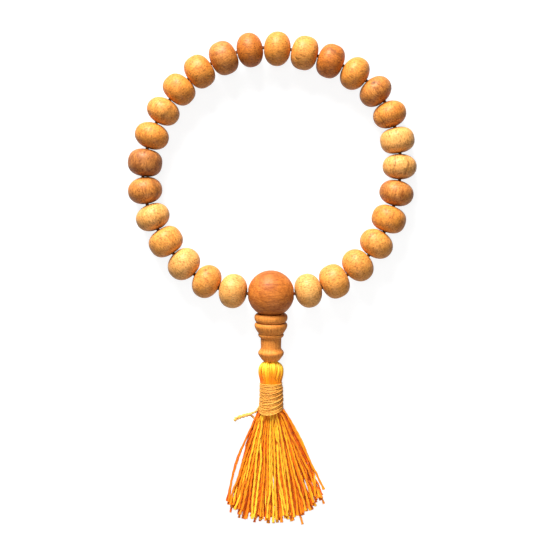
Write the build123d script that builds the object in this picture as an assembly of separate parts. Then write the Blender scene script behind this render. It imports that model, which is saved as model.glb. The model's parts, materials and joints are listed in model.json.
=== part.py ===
from build123d import *
import os
from math import asin, cos, degrees, pi, sin, sqrt

# Wrist mala: 27 turned wooden beads and a guru bead on one cord, with a turned
# stem and a thread tassel below the guru bead. Millimetres, +Z up. It lies flat
# on z = 0, with the origin at the middle of the loop on that surface. The guru
# bead is on the -Y side and the tassel points along -Y.

# Beads
BEAD_RADIUS = 4.0
BEAD_GAP = 0.3
BORE_RADIUS = 0.65

# Cord: two strands lie side by side below the guru bead, so it is thicker there
CORD_RADIUS = 0.45
TASSEL_CORD_RADIUS = 0.6
CORD_TIP_GAP = 0.05

# Guru bead, with side bores along X and one bore down to the stem
GURU_RADIUS = 5.45
GURU_BORE_RADIUS = 0.9
GURU_Y = -29.0
SIDE_PIVOT_X = GURU_RADIUS + BEAD_GAP / 2

# Where the cord can bend, round the loop from the guru bead's +X side,
# counter-clockwise from above. One bead sits between each two points.
LOOP_PIVOTS = [
    (SIDE_PIVOT_X, GURU_Y),
    (12.0, -27.6),
    (18.0, -24.6),
    (23.1, -20.0),
    (26.8, -14.4),
    (29.0, -8.3),
    (30.4, -2.1),
    (30.5, 4.2),
    (29.3, 10.4),
    (26.9, 16.4),
    (22.6, 21.3),
    (17.1, 24.9),
    (11.1, 27.2),
    (4.8, 28.7),
    (-1.8, 29.2),
    (-8.2, 28.1),
    (-14.2, 25.4),
    (-19.6, 21.7),
    (-23.9, 16.9),
    (-27.1, 11.4),
    (-29.3, 5.3),
    (-30.3, -1.3),
    (-29.3, -7.9),
    (-26.7, -13.9),
    (-23.1, -19.5),
    (-18.1, -24.5),
    (-12.3, -27.8),
    (-SIDE_PIVOT_X, GURU_Y),
]
# The two beads beside the guru bead hang between its bores and the surface
NEIGHBOUR_Z = 4.4

# Stem, turned about an axis that runs down from the guru bead's centre.
# Stations are distances from that centre along the axis.
SEAT_GAP = 0.1
STEM_BORE_RADIUS = 0.8
RIM_STATION, RIM_RADIUS = 4.8, 3.45
COLLAR_STATION, COLLAR_RADIUS = 5.75, 3.9
GROOVE_STATION, GROOVE_RADIUS = 6.85, 3.35
RING_STATION, RING_RADIUS = 7.8, 3.85
RING_END_STATION, RING_END_RADIUS = 9.5, 2.85
FILLET_RING_STATION, FILLET_RING_RADIUS = 9.75, 3.0
SHAFT_TOP_STATION, SHAFT_TOP_RADIUS = 10.6, 2.45
SHAFT_WAIST_STATION, SHAFT_WAIST_RADIUS = 11.6, 2.35
FLARE_STATION, FLARE_RADIUS = 14.1, 3.07
STEM_END_STATION, STEM_END_RADIUS = 16.3, 1.3

# Tassel: it lies flat from the neck, where the cord leaves the stem.
# Stations are distances from the neck along -Y.
NECK_STATION = 16.55
NECK_Z = 3.0
SOCKET_RADIUS = 0.8
HEAD_TOP_STATION, HEAD_TOP_RADIUS = 0.5, 1.0
HEAD_STATION, HEAD_RADIUS = 1.9, 2.95
BINDING_STATION, BINDING_END_STATION = 4.4, 11.8
WAIST_RADIUS = 2.3
BINDING_RADIUS, BINDING_END_RADIUS = 2.78, 2.95
SKIRT_RADIUS = 2.85
SKIRT_END_STATION = 37.0
SKIRT_END_X, SKIRT_END_Z = 1.1, 1.75
SKIRT_END_HALF_WIDTH, SKIRT_END_HALF_HEIGHT = 11.4, 1.65
SKIRT_ROOT_LENGTH = 1.0

# Loose doubled end of the binding thread: x, station, z, and its bend radii
TAIL_RADIUS = 0.42
TAIL_ROUTE = [(-2.5, 11.2, 3.0), (-4.9, 12.0, 2.3), (-7.0, 13.2, 1.2), (-8.9, 13.8, 0.6)]
TAIL_RUN_SHARE = 0.45

STEM_TILT = asin((GURU_RADIUS - NECK_Z) / NECK_STATION)
GURU_CENTRE = Vector(0, GURU_Y, GURU_RADIUS)
STEM_AXIS = Vector(0, -cos(STEM_TILT), -sin(STEM_TILT))
NECK = GURU_CENTRE + STEM_AXIS * NECK_STATION
STEM_PLANE = Plane(origin=GURU_CENTRE, x_dir=(1, 0, 0), z_dir=STEM_AXIS)
TASSEL_PLANE = Plane(origin=NECK, x_dir=(1, 0, 0), z_dir=(0, -1, 0))


def pivot_height(index):
    """Height of the cord at one bending point of the loop."""
    ends = (0, len(LOOP_PIVOTS) - 1)
    if index in ends:
        return GURU_RADIUS
    if index - 1 in ends or index + 1 in ends:
        return NEIGHBOUR_Z
    return BEAD_RADIUS


def pivot_points():
    """The loop's bending points in space."""
    return [Vector(x, y, pivot_height(index)) for index, (x, y) in enumerate(LOOP_PIVOTS)]


def along(start, end):
    """Placement at the middle of two points, with local Z from start to end."""
    return Plane(origin=(start + end) * 0.5, z_dir=end - start).location


def capsule(length, radius):
    """Round-ended cord stretch of this whole length, centred, along Z."""
    straight = length - 2 * radius
    ends = [Pos(0, 0, side * straight / 2) * Sphere(radius) for side in (-1, 1)]
    return Cylinder(radius, straight) + ends


def bead(start, end):
    """Turned bead between two bending points, bored along the cord."""
    half_length = ((end - start).length - BEAD_GAP) / 2
    quarter = Pos(BEAD_RADIUS, 0) * Rectangle(2 * BEAD_RADIUS, 2 * BEAD_RADIUS)
    outline = Ellipse(BEAD_RADIUS, half_length) & quarter
    solid = revolve(Plane.XZ * outline, Axis.Z)
    return along(start, end) * (solid - Cylinder(BORE_RADIUS, 3 * half_length))


def cord_stretch(start, end, radius):
    """Cord between two bending points, just clear of the next stretches."""
    length = (end - start).length - 2 * CORD_TIP_GAP
    return along(start, end) * capsule(length, radius)


def guru_bead():
    """Large round bead with three bores that meet at its centre."""
    side_bores = Pos(GURU_CENTRE) * Rot(0, 90, 0) * Cylinder(GURU_BORE_RADIUS, 3 * GURU_RADIUS)
    lower_bore = STEM_PLANE.location * Pos(0, 0, GURU_RADIUS) * Cylinder(
        GURU_BORE_RADIUS, 2 * GURU_RADIUS
    )
    return Pos(GURU_CENTRE) * Sphere(GURU_RADIUS) - side_bores - lower_bore


def stem_outline():
    """Half section of the stem: x is radius and y is distance along its axis."""
    seat_radius = GURU_RADIUS + SEAT_GAP
    seat_edge = (sqrt(seat_radius**2 - RIM_STATION**2), RIM_STATION)
    seat_bottom = (STEM_BORE_RADIUS, sqrt(seat_radius**2 - STEM_BORE_RADIUS**2))
    seat_middle_x = (seat_edge[0] + seat_bottom[0]) / 2
    seat_middle = (seat_middle_x, sqrt(seat_radius**2 - seat_middle_x**2))
    rim = (RIM_RADIUS, RIM_STATION)
    groove = (GROOVE_RADIUS, GROOVE_STATION)
    ring_end = (RING_END_RADIUS, RING_END_STATION)
    shaft_top = (SHAFT_TOP_RADIUS, SHAFT_TOP_STATION)
    stem_end = (STEM_END_RADIUS, STEM_END_STATION)
    bore_end = (STEM_BORE_RADIUS, STEM_END_STATION)
    lower = Spline(
        shaft_top,
        (SHAFT_WAIST_RADIUS, SHAFT_WAIST_STATION),
        (FLARE_RADIUS, FLARE_STATION),
        stem_end,
    )
    edges = [
        ThreePointArc(seat_bottom, seat_middle, seat_edge),
        Line(seat_edge, rim),
        ThreePointArc(rim, (COLLAR_RADIUS, COLLAR_STATION), groove),
        Spline(groove, (RING_RADIUS, RING_STATION), ring_end),
        ThreePointArc(ring_end, (FILLET_RING_RADIUS, FILLET_RING_STATION), shaft_top),
        lower,
        Line(stem_end, bore_end),
        Line(bore_end, seat_bottom),
    ]
    return make_face(Curve() + edges)


def guru_stem():
    """Turned stem with a cupped seat for the guru bead and a bore for the cord."""
    return STEM_PLANE.location * revolve(Plane.XZ * stem_outline(), Axis.Z)


def head_outline():
    """Half section of the tassel's head and bound waist."""
    top = (HEAD_TOP_RADIUS, HEAD_TOP_STATION)
    widest = (HEAD_RADIUS, HEAD_STATION)
    shoulder = (BINDING_RADIUS, BINDING_STATION)
    waist_top = (WAIST_RADIUS, BINDING_STATION)
    waist_end = (WAIST_RADIUS, BINDING_END_STATION)
    dome = EllipticalCenterArc(
        (HEAD_TOP_RADIUS, HEAD_STATION),
        HEAD_RADIUS - HEAD_TOP_RADIUS,
        HEAD_STATION - HEAD_TOP_STATION,
        start_angle=270,
        arc_size=90,
    )
    edges = [
        Line((0, HEAD_TOP_STATION), top),
        dome,
        Line(widest, shoulder),
        Line(shoulder, waist_top),
        Line(waist_top, waist_end),
        Line(waist_end, (0, BINDING_END_STATION)),
        Line((0, BINDING_END_STATION), (0, HEAD_TOP_STATION)),
    ]
    return make_face(Curve() + edges)


def tassel_threads():
    """The whole hank of tassel threads: head, bound waist and spread skirt."""
    head = revolve(Plane.XZ * head_outline(), Axis.Z) - Sphere(SOCKET_RADIUS)
    root_end = BINDING_END_STATION + SKIRT_ROOT_LENGTH
    root = Pos(0, 0, root_end - SKIRT_ROOT_LENGTH / 2) * Cylinder(SKIRT_RADIUS, SKIRT_ROOT_LENGTH)
    end_place = Pos(SKIRT_END_X, SKIRT_END_Z - NECK_Z, SKIRT_END_STATION)
    skirt = loft([
        Pos(0, 0, root_end) * Circle(SKIRT_RADIUS),
        end_place * Ellipse(SKIRT_END_HALF_WIDTH, SKIRT_END_HALF_HEIGHT),
    ])
    return TASSEL_PLANE.location * (head + root + skirt)


def tail_radii(points):
    """Bend radius at each inner point of the tail, as large as its runs allow."""
    radii = []
    for before, here, after in zip(points, points[1:], points[2:]):
        turn = (here - before).get_angle(after - here) / 180 * pi
        shorter = min((here - before).length, (after - here).length)
        radii.append(TAIL_RUN_SHARE * shorter / (sin(turn / 2) / cos(turn / 2)))
    return radii


def tassel_binding():
    """Wound binding round the waist, with the loose doubled end of its thread."""
    length = BINDING_END_STATION - BINDING_STATION
    middle = (BINDING_STATION + BINDING_END_STATION) / 2
    wound = Pos(0, 0, middle) * Cone(BINDING_RADIUS, BINDING_END_RADIUS, length)
    hollow = Pos(0, 0, middle) * Cylinder(WAIST_RADIUS, 2 * length)
    points = [Vector(x, z - NECK_Z, station) for x, station, z in TAIL_ROUTE]
    radii = tail_radii(points)
    print("tail bend radii", [round(radius, 1) for radius in radii])
    route = FilletPolyline(*points, radius=radii)
    section = Plane(origin=points[0], z_dir=points[1] - points[0]) * Circle(TAIL_RADIUS)
    tail = sweep(section, path=route)
    return TASSEL_PLANE.location * (wound - hollow + tail)


def tassel_cord():
    """Doubled cord from the guru bead's centre through the stem to the neck."""
    top = CORD_RADIUS + 2 * CORD_TIP_GAP
    end = NECK_STATION + TASSEL_CORD_RADIUS
    placed = Pos(0, 0, (top + end) / 2) * capsule(end - top, TASSEL_CORD_RADIUS)
    return STEM_PLANE.location * placed


def build():
    """Every part of the mala by node name."""
    parts = {}
    points = pivot_points()
    for number, (start, end) in enumerate(zip(points, points[1:]), start=1):
        parts[f"bead_{number:02d}"] = bead(start, end)
        parts[f"cord_{number:02d}"] = cord_stretch(start, end, CORD_RADIUS)
    parts["guru_bead"] = guru_bead()
    parts["guru_cord"] = cord_stretch(points[-1], points[0], CORD_RADIUS)
    parts["guru_stem"] = guru_stem()
    parts["tassel_cord"] = tassel_cord()
    parts["tassel_threads"] = tassel_threads()
    parts["tassel_binding"] = tassel_binding()
    return parts


os.makedirs("parts", exist_ok=True)
print("stem tilt", round(degrees(STEM_TILT), 2), "neck", NECK)
for name, solid in build().items():
    export_step(solid, f"parts/{name}.step")
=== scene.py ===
"""A wrist mala of turned wooden beads, with a guru bead, a stem and a thread tassel, on a pale floor."""

import json
import logging
import math
from collections.abc import Callable, Sequence
from dataclasses import dataclass, field
from enum import Enum

import bpy
import numpy as np
from mathutils import Matrix, Vector


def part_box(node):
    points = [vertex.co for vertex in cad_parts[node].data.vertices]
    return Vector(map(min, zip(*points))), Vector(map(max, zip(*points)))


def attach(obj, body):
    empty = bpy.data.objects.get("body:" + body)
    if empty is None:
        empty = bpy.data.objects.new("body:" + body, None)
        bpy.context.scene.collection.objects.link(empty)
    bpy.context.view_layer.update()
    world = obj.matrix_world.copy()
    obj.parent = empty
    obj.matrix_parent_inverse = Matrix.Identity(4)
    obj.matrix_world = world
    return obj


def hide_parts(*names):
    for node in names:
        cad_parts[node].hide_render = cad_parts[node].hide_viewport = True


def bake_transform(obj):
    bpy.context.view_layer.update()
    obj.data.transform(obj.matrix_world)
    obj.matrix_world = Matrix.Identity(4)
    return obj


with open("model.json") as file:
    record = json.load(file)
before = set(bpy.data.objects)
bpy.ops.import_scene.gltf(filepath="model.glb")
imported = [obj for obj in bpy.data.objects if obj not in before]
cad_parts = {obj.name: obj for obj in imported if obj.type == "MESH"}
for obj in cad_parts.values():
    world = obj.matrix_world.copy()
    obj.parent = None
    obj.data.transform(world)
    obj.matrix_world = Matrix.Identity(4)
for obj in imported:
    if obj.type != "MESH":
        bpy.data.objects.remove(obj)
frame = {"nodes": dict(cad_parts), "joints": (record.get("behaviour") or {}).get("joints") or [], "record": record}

MM = 0.001
GOLDEN_ANGLE = 2.399963
FLOATS = np.ndarray
Colour = tuple[float, float, float]
log = logging.getLogger("mala")


# ---------------------------------------------------------------- shader maths


class Field:
    """A node socket that Python's operators work on: each expression adds its Math nodes."""

    def __init__(self, bench: "Bench", socket: bpy.types.NodeSocket) -> None:
        """Keeps the socket and the bench that adds nodes for it."""
        self.bench = bench
        self.socket = socket

    def maths(self, operation: str, *values: object) -> "Field":
        """Adds one Math node.

        Args:
            operation: the Math node's operation.
            values: its inputs in order, as numbers or fields.

        Returns:
            The node's result.
        """
        inputs = dict(enumerate(values))
        return self.bench.node("ShaderNodeMath", {"operation": operation}, inputs)

    def __add__(self, other: object) -> "Field":
        """Sum."""
        return self.maths("ADD", self, other)

    def __radd__(self, other: object) -> "Field":
        """Sum, from the right."""
        return self.maths("ADD", other, self)

    def __sub__(self, other: object) -> "Field":
        """Difference."""
        return self.maths("SUBTRACT", self, other)

    def __rsub__(self, other: object) -> "Field":
        """Difference, from the right."""
        return self.maths("SUBTRACT", other, self)

    def __mul__(self, other: object) -> "Field":
        """Product."""
        return self.maths("MULTIPLY", self, other)

    def __rmul__(self, other: object) -> "Field":
        """Product, from the right."""
        return self.maths("MULTIPLY", other, self)

    def wave(self) -> "Field":
        """Sine of this value in radians, brought to the range 0 to 1."""
        return self.maths("SINE", self) * 0.5 + 0.5

    def rise(self, low: float, high: float) -> "Field":
        """Smooth step.

        Args:
            low: the value where the result leaves 0, or 1 if it is above high.
            high: the value where the result reaches 1.

        Returns:
            A smooth mask from 0 to 1.
        """
        settings = {"interpolation_type": "SMOOTHSTEP"}
        inputs = {"Value": self, "From Min": low, "From Max": high}
        return self.bench.node("ShaderNodeMapRange", settings, inputs)


class Bench:
    """The node tree of one material, with its Principled shader."""

    def __init__(self, name: str) -> None:
        """Makes an empty material of this name and its shader."""
        self.material = bpy.data.materials.new(name)
        self.material.use_nodes = True
        self.tree = self.material.node_tree
        self.tree.nodes.clear()
        self.shader = self.tree.nodes.new("ShaderNodeBsdfPrincipled")
        output = self.tree.nodes.new("ShaderNodeOutputMaterial")
        self.tree.links.new(self.shader.outputs["BSDF"], output.inputs["Surface"])

    def plug(self, socket: bpy.types.NodeSocket, value: object) -> None:
        """Links a field to a socket, or sets the socket to a plain value."""
        if isinstance(value, Field):
            self.tree.links.new(value.socket, socket)
        else:
            socket.default_value = value

    def node(
        self,
        kind: str,
        settings: dict[str, object] | None = None,
        inputs: dict[int | str, object] | None = None,
        output: int | str = 0,
    ) -> Field:
        """Adds any node.

        Args:
            kind: the node's type.
            settings: its properties, set first.
            inputs: its sockets by index or name, as fields or plain values.
            output: the output that is returned.

        Returns:
            The chosen output.
        """
        made = self.tree.nodes.new(kind)
        for name, value in (settings or {}).items():
            setattr(made, name, value)
        for key, value in (inputs or {}).items():
            self.plug(made.inputs[key], value)
        return Field(self, made.outputs[output])

    def mix(self, factor: object, first: object, second: object, blend: str = "MIX") -> Field:
        """Blends two colours with a Mix node.

        Args:
            factor: how much of the second colour shows.
            first: the colour at 0.
            second: the colour at 1.
            blend: the Mix node's blend type.

        Returns:
            The blended colour.
        """
        settings = {"data_type": "RGBA", "blend_type": blend, "clamp_factor": True}
        colours = [(*c, 1.0) if isinstance(c, tuple) else c for c in (first, second)]
        return self.node("ShaderNodeMix", settings, {0: factor, 6: colours[0], 7: colours[1]}, 2)

    def vector(self, operation: str, *values: object) -> Field:
        """Adds a Vector Math node on these vectors."""
        return self.node("ShaderNodeVectorMath", {"operation": operation}, dict(enumerate(values)))

    def millimetres(self) -> Field:
        """The piece's own coordinates, in millimetres."""
        here = self.node("ShaderNodeTexCoord", output="Object")
        return self.vector("MULTIPLY", here, (1 / MM, 1 / MM, 1 / MM))

    def noise(self, where: Field, stretch: Sequence[float], detail: float = 2.0) -> Field:
        """Noise over stretched coordinates.

        Args:
            where: the coordinates.
            stretch: cycles per unit along each axis.
            detail: how many finer octaves are added.

        Returns:
            Noise from 0 to 1.
        """
        scaled = self.vector("MULTIPLY", where, tuple(stretch))
        inputs = {"Vector": scaled, "Scale": 1.0, "Detail": detail, "Roughness": 0.55}
        return self.node("ShaderNodeTexNoise", {}, inputs)

    def attribute(self, name: str) -> Field:
        """A number that the mesh stores at each point."""
        return self.node("ShaderNodeAttribute", {"attribute_name": name}, output="Fac")

    def bump(self, height: Field, depth_mm: float, strength: float = 1.0) -> Field:
        """A normal raised by a height from 0 to 1, this many millimetres deep."""
        inputs = {"Height": height, "Distance": depth_mm * MM, "Strength": strength}
        return self.node("ShaderNodeBump", {}, inputs)

    def finish(self, **sockets: object) -> bpy.types.Material:
        """Sets the shader's sockets, given with underscores for spaces, and returns the material."""
        found = {socket.name.lower(): socket for socket in self.shader.inputs}
        for name, value in sockets.items():
            self.plug(found[name.replace("_", " ")], value)
        return self.material


def linear(red: int, green: int, blue: int) -> Colour:
    """Linear colour of a display colour given in steps of 255."""
    shares = (value / 255 for value in (red, green, blue))
    return tuple(s / 12.92 if s <= 0.04045 else ((s + 0.055) / 1.055) ** 2.4 for s in shares)


# -------------------------------------------------------------------- finishes


class Tone(Enum):
    """Colours of the wood from bead to bead, as pale wood and deep grain."""

    STRAW = (linear(249, 184, 100), linear(212, 132, 54))
    HONEY = (linear(244, 168, 78), linear(202, 118, 40))
    AMBER = (linear(238, 156, 64), linear(190, 106, 32))
    TOFFEE = (linear(226, 148, 66), linear(172, 96, 34))
    UMBER = (linear(206, 132, 62), linear(144, 80, 32))
    RUSSET = (linear(214, 126, 44), linear(162, 82, 24))
    GURU = (linear(216, 128, 48), linear(156, 74, 14))
    STEM = (linear(240, 154, 64), linear(200, 108, 32))


@dataclass(frozen=True)
class TurnedWood:
    """Turned, lightly waxed wood whose grain runs along the piece's own Z."""

    name: str
    tone: Tone
    seed: int
    grain: float = 0.45
    mottle: float = 0.35
    pores: float = 1.0
    ring_pitch: float = 1.5
    roughness: float = 0.54
    wax: float = 0.08
    grain_axis: int = 2

    def stretched(self, across: float, along: float) -> list[float]:
        """Cycles per millimetre across and along the grain, for X, Y and Z."""
        scale = [across, across, across]
        scale[self.grain_axis] = along
        return scale

    def make(self) -> bpy.types.Material:
        """Builds the material.

        Returns:
            Wood with growth bands, streaks, pores, stains, painted shade and a darker bore edge.
        """
        bench = Bench(self.name)
        draw = np.random.default_rng(self.seed)
        shift = tuple(float(v) for v in draw.uniform(-40, 40, 3))
        here = bench.millimetres()
        place = bench.vector("ADD", here, shift)

        warp = bench.noise(place, self.stretched(0.22, 0.10), 3.0)
        pith = [float(v) for v in draw.uniform(5, 9, 3) * draw.choice([-1, 1], 3)]
        flat = [1.0, 1.0, 1.0]
        flat[self.grain_axis] = 0.12
        centred = bench.vector("MULTIPLY", bench.vector("ADD", here, tuple(pith)), tuple(flat))
        length_node = {"operation": "LENGTH"}
        distance = bench.node("ShaderNodeVectorMath", length_node, {0: centred}, "Value")
        turns = 2 * math.pi / self.ring_pitch
        bands = (distance * turns + warp * 9.0).wave()
        fine = (distance * (turns * 3.1) + warp * 22.0).wave()
        streaks = bench.noise(place, self.stretched(2.6, 0.22), 4.0).rise(0.40, 0.72)
        clouds = bench.noise(place, self.stretched(0.42, 0.30), 4.0).rise(0.40, 0.70)
        specks = bench.noise(place, self.stretched(3.0, 1.5), 4.0).rise(0.50, 0.70)
        dust = bench.noise(place, self.stretched(3.4, 2.4), 4.0).rise(0.36, 0.66)

        depth = bands * (self.grain * 0.22) + fine * (self.grain * 0.12)
        depth = depth + streaks * (self.grain * 0.62) + clouds * self.mottle
        colour = bench.mix(depth, *self.tone.value)
        dark = tuple(c * share for c, share in zip(self.tone.value[1], (0.44, 0.34, 0.26)))
        colour = bench.mix(specks * (self.pores * 0.75), colour, dark)
        colour = bench.mix(dust * (self.pores * 0.42), colour, dark)
        # Darkening stored in the mesh: stains, darker bore edges and stem grooves, and painted shade at the guru
        # bead's top and bottom rims.
        stain = bench.attribute("stain")
        stain_and_shade_colour = tuple(c * 0.16 for c in self.tone.value[1])
        colour = bench.mix(stain, colour, stain_and_shade_colour)

        height = 1.0 - specks * 0.7 - streaks * 0.25 - dust * 0.3
        rough = self.roughness + specks * 0.14 + streaks * 0.06 - bands * 0.03
        return bench.finish(
            base_color=colour,
            roughness=rough,
            normal=bench.bump(height, 0.05, 0.7),
            coat_weight=self.wax,
            coat_roughness=0.32,
            specular_ior_level=0.28,
        )


@dataclass(frozen=True)
class TwistedThread:
    """Twisted thread or cord: its strands' own shade and fibres vary the colour; painted shade darkens its
    crevices and a faint painted glow lifts its shadows.
    """

    name: str
    bright: Colour
    mid: Colour
    deep: Colour
    roughness: float = 0.55
    sheen: float = 0.25
    fibre_depth: float = 0.03
    crevice_shade_strength: float = 0.85
    painted_glow: float = 0.15

    def make(self) -> bpy.types.Material:
        """Builds the material.

        Returns:
            Thread with fibres that run with the twist, darker, thicker stretches, painted shade in its crevices
            and a painted glow.
        """
        bench = Bench(self.name)
        shade = bench.attribute("shade")
        along = bench.attribute("along")
        around = bench.attribute("around")
        inputs = {"X": around * 3.0, "Y": along * 0.35, "Z": shade * 31.0}
        strand = bench.node("ShaderNodeCombineXYZ", {}, inputs)
        fibres = bench.noise(strand, (2.4, 2.4, 1.0), 3.0)
        patches = bench.noise(bench.millimetres(), (0.5, 0.25, 0.5), 2.0).rise(0.35, 0.70)
        depth = (1.0 - shade) * 0.9 + patches * 0.25 - 0.1
        colour = bench.mix(depth.rise(0.30, 1.0), self.mid, self.deep)
        colour = bench.mix(shade.rise(0.50, 1.0), colour, self.bright)
        colour = bench.mix(fibres.rise(0.50, 0.75) * 0.35, colour, self.deep)
        # Painted shade: points that lie deep among the other threads are darkened towards a darker deep colour.
        crevice_shade_colour = tuple(c * 0.72 for c in self.deep)
        colour = bench.mix(bench.attribute("crevice_shade").rise(0.12, 1.0) * self.crevice_shade_strength, colour, crevice_shade_colour)
        return bench.finish(
            base_color=colour,
            roughness=self.roughness,
            normal=bench.bump(fibres, self.fibre_depth, 0.5),
            sheen_weight=self.sheen,
            sheen_roughness=0.4,
            specular_ior_level=0.25,
            # Painted glow: the thread gives off a little light of its own colour, which lifts its shaded parts.
            emission_color=colour,
            emission_strength=self.painted_glow,
        )


# ---------------------------------------------------------------------- meshes


@dataclass
class MeshHeap:
    """Points, faces and point values gathered for one piece."""

    points: list[FLOATS] = field(default_factory=list)
    faces: list[FLOATS] = field(default_factory=list)
    values: dict[str, list[FLOATS]] = field(default_factory=dict)
    count: int = 0

    def add(self, points: FLOATS, faces: FLOATS, **values: FLOATS) -> None:
        """Adds a closed form.

        Args:
            points: its points, one row each.
            faces: its four-sided faces, by point.
            values: the numbers stored at its points.
        """
        self.points.append(points)
        self.faces.append(faces + self.count)
        for name, numbers in values.items():
            self.values.setdefault(name, []).append(numbers)
        self.count += len(points)

    def piece(self, name: str, material: bpy.types.Material, place: Matrix | None = None) -> bpy.types.Object:
        """Makes the object.

        Args:
            name: the piece's name.
            material: its material.
            place: where its own frame stands, if not at the origin.

        Returns:
            The object, smooth-shaded and linked to the scene.
        """
        points = np.concatenate(self.points)
        faces = np.concatenate(self.faces)
        mesh = bpy.data.meshes.new(name)
        mesh.vertices.add(len(points))
        mesh.vertices.foreach_set("co", points.astype(np.float32).ravel())
        mesh.loops.add(faces.size)
        mesh.loops.foreach_set("vertex_index", faces.astype(np.int32).ravel())
        mesh.polygons.add(len(faces))
        mesh.polygons.foreach_set("loop_start", np.arange(0, faces.size, 4, dtype=np.int32))
        mesh.update(calc_edges=True)
        mesh.shade_smooth()
        for key, numbers in self.values.items():
            layer = mesh.attributes.new(key, "FLOAT", "POINT")
            layer.data.foreach_set("value", np.concatenate(numbers).astype(np.float32))
        mesh.materials.append(material)
        made = bpy.data.objects.new(name, mesh)
        bpy.context.scene.collection.objects.link(made)
        if place is not None:
            made.matrix_world = place
        return made


def grid_faces(rows: int, columns: int, close_rows: bool) -> FLOATS:
    """Faces between the points of a grid whose columns close on themselves.

    Args:
        rows: how many rings of points there are.
        columns: how many points a ring has.
        close_rows: whether the last ring joins the first.

    Returns:
        Four point numbers for each face, turned outwards.
    """
    row = np.arange(rows if close_rows else rows - 1)[:, None]
    column = np.arange(columns)[None, :]
    after, beside = (row + 1) % rows, (column + 1) % columns
    here, ahead = row * columns, after * columns
    corners = [here + column, here + beside, ahead + beside, ahead + column]
    return np.stack(np.broadcast_arrays(*corners), -1).reshape(-1, 4)


def lathe(
    outline: FLOATS, sides: int, swell: Callable[[FLOATS, FLOATS], FLOATS]
) -> tuple[FLOATS, FLOATS, FLOATS, FLOATS]:
    """Turns a closed outline about Z.

    Args:
        outline: rows of radius and height, closed, outer side first, in millimetres.
        sides: points in a ring.
        swell: how much the radius grows, for height and angle.

    Returns:
        Points in metres, faces, and each point's height and angle.
    """
    angle = np.linspace(0, 2 * math.pi, sides, endpoint=False)[None, :]
    height = np.repeat(outline[:, 1:2], sides, 1)
    angles = np.repeat(angle, len(outline), 0)
    radius = outline[:, 0:1] + swell(height, angles)
    points = np.stack([radius * np.cos(angles), radius * np.sin(angles), height], -1) * MM
    return points.reshape(-1, 3), grid_faces(len(outline), sides, True), height.ravel(), angles.ravel()


def unit(vectors: FLOATS) -> FLOATS:
    """These vectors at length 1."""
    return vectors / np.maximum(np.linalg.norm(vectors, axis=-1, keepdims=True), 1e-12)


@dataclass(frozen=True)
class Strand:
    """How a thread is spun: its plies, twist and mesh."""

    plies: int = 2
    pitch: float = 1.9
    groove: float = 0.34
    sides: int = 10

    def sweep(self, heap: MeshHeap, paths: FLOATS, radii: FLOATS, shades: FLOATS) -> None:
        """Adds threads along paths.

        Args:
            heap: where the threads go.
            paths: points along each thread, in millimetres, as thread, station, axis.
            radii: radius at each station of each thread.
            shades: one number from 0 to 1 for each thread's colour.
        """
        threads, stations = radii.shape
        ahead = unit(np.gradient(paths, axis=1))
        side = np.empty_like(ahead)
        guess = np.where(np.abs(ahead[:, 0, 2:3]) < 0.9, [[0.0, 0.0, 1.0]], [[1.0, 0.0, 0.0]])
        for station in range(stations):
            now = ahead[:, station]
            guess = unit(guess - np.sum(guess * now, -1, keepdims=True) * now)
            side[:, station] = guess
        across = np.cross(ahead, side)
        steps = np.linalg.norm(np.diff(paths, axis=1), axis=-1)
        length = np.concatenate([np.zeros((threads, 1)), np.cumsum(steps, 1)], 1)
        phase = shades[:, None] * 40.0
        turn = 2 * math.pi * length / (self.pitch * self.plies) + phase
        angle = np.linspace(0, 2 * math.pi, self.sides, endpoint=False)
        twisted = angle[None, None, :] - turn[..., None]
        lobes = 1 - self.groove * (1 - np.abs(np.cos(twisted * self.plies / 2)))
        reach = radii[..., None] * lobes
        spread = np.cos(angle)[:, None] * side[..., None, :]
        spread = spread + np.sin(angle)[:, None] * across[..., None, :]
        rings = paths[..., None, :] + reach[..., None] * spread
        first = rings[:, :1] * 0.02 + paths[:, :1, None] * 0.98
        last = rings[:, -1:] * 0.02 + paths[:, -1:, None] * 0.98
        rings = np.concatenate([first, rings, last], 1) * MM
        faces = grid_faces(stations + 2, self.sides, False)
        caps = self.caps(stations + 2)
        faces = np.concatenate([faces, caps])
        size = (stations + 2) * self.sides
        everywhere = (faces[None] + np.arange(threads)[:, None, None] * size).reshape(-1, 4)
        longer = np.pad(length, ((0, 0), (1, 1)), mode="edge")
        turned = np.pad(turn, ((0, 0), (1, 1)), mode="edge")
        heap.add(
            rings.reshape(-1, 3),
            everywhere,
            shade=np.repeat(shades, size),
            along=np.repeat(longer[..., None], self.sides, -1).ravel(),
            around=(np.sin(angle[None, None, :] - turned[..., None])).ravel(),
        )

    def caps(self, rings: int) -> FLOATS:
        """Faces that close the two ends of a thread of this many rings."""
        half = self.sides // 2
        ends = []
        for start, turn in ((0, -1), ((rings - 1) * self.sides, 1)):
            for step in range(half - 1):
                corners = [step, step + 1, self.sides - 2 - step, self.sides - 1 - step]
                ends.append([start + corner for corner in corners[::turn]])
        return np.array(ends)


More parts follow.
